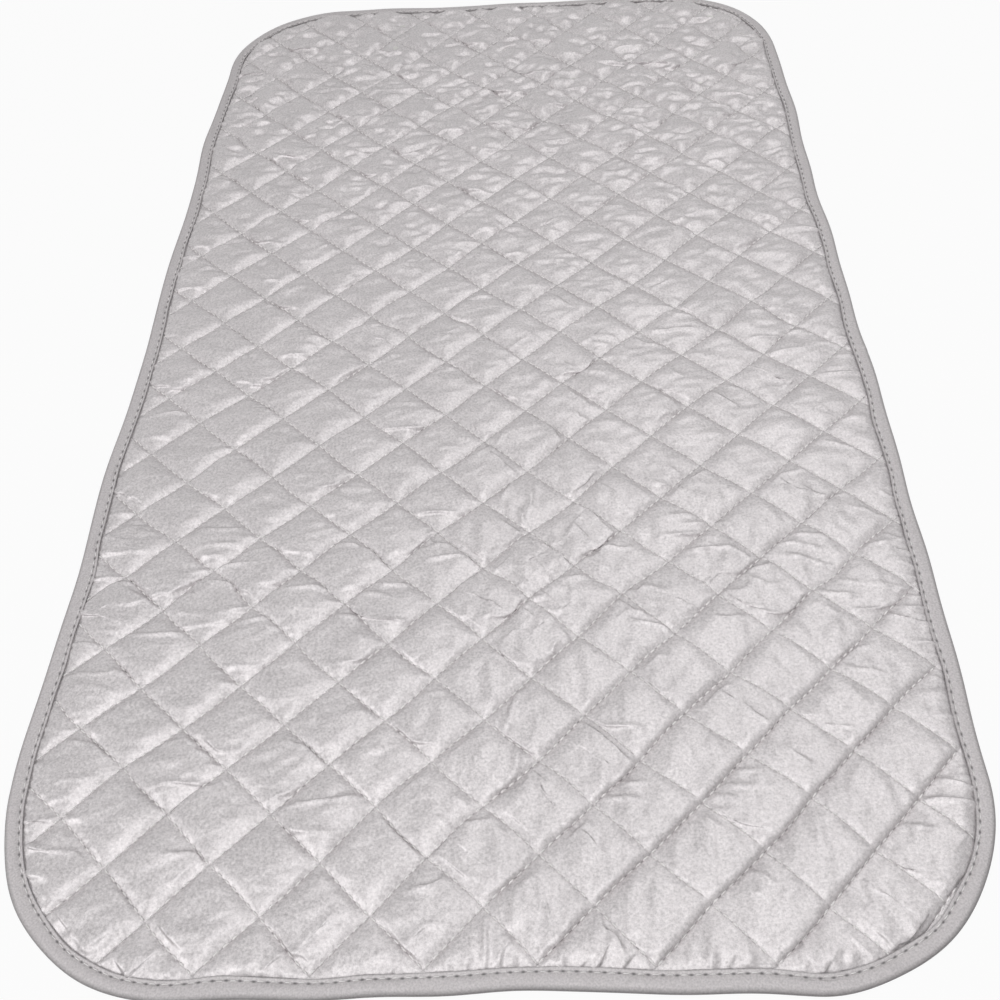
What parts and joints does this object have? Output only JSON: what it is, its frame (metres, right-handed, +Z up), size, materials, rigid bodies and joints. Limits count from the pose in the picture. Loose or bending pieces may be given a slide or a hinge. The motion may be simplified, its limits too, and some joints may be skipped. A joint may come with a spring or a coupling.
{
  "type": "ironing pad",
  "caption": "Flat quilted ironing pad with rounded corners, a coated cover over wadding, a taped edge and cross creases along which it folds up for storage.",
  "frame": {"origin": "centre of the pad's plan, on the plane of its underside", "axes": "+X across the pad, +Y along its length to the far end, +Z up out of the quilted face"},
  "size_m": [0.46, 0.85, 0.0056],
  "materials": {
    "coated_cotton": "silver-grey coated woven cotton with a soft metallic sheen",
    "wadding": "white needled polyester wadding",
    "backing_cloth": "pale grey plain-woven cloth, matt",
    "binding_tape": "grey satin bias tape",
    "thread": "pale grey twisted polyester thread"
  },
  "bodies": {
    "far_middle_panel": {"backing_far_middle": "backing_cloth", "wadding_far_middle": "wadding", "cover_far_middle": "coated_cotton", "binding_far_middle_left": "binding_tape", "binding_thread_far_middle_left": "thread", "binding_far_middle_right": "binding_tape", "binding_thread_far_middle_right": "thread"},
    "near_middle_panel": {"backing_near_middle": "backing_cloth", "wadding_near_middle": "wadding", "cover_near_middle": "coated_cotton", "binding_near_middle_left": "binding_tape", "binding_thread_near_middle_left": "thread", "binding_near_middle_right": "binding_tape", "binding_thread_near_middle_right": "thread"},
    "near_end_panel": {"backing_near_end": "backing_cloth", "wadding_near_end": "wadding", "cover_near_end": "coated_cotton", "binding_near_end": "binding_tape", "binding_thread_near_end": "thread"},
    "far_end_panel": {"backing_far_end": "backing_cloth", "wadding_far_end": "wadding", "cover_far_end": "coated_cotton", "binding_far_end": "binding_tape", "binding_thread_far_end": "thread"}
  },
  "joints": [
    {"name": "middle_fold", "type": "hinge", "parent": "far_middle_panel", "child": "near_middle_panel", "pos_m": [0, 0, 0.0142], "axis": [-1, 0, 0], "range_deg": [0, 179.9]},
    {"name": "near_fold", "type": "hinge", "parent": "near_middle_panel", "child": "near_end_panel", "pos_m": [0, -0.2145, 0.0066], "axis": [-1, 0, 0], "range_deg": [0, 179.9]},
    {"name": "far_fold", "type": "hinge", "parent": "far_middle_panel", "child": "far_end_panel", "pos_m": [0, 0.2145, 0.0066], "axis": [1, 0, 0], "range_deg": [0, 179.9]}
  ]
}
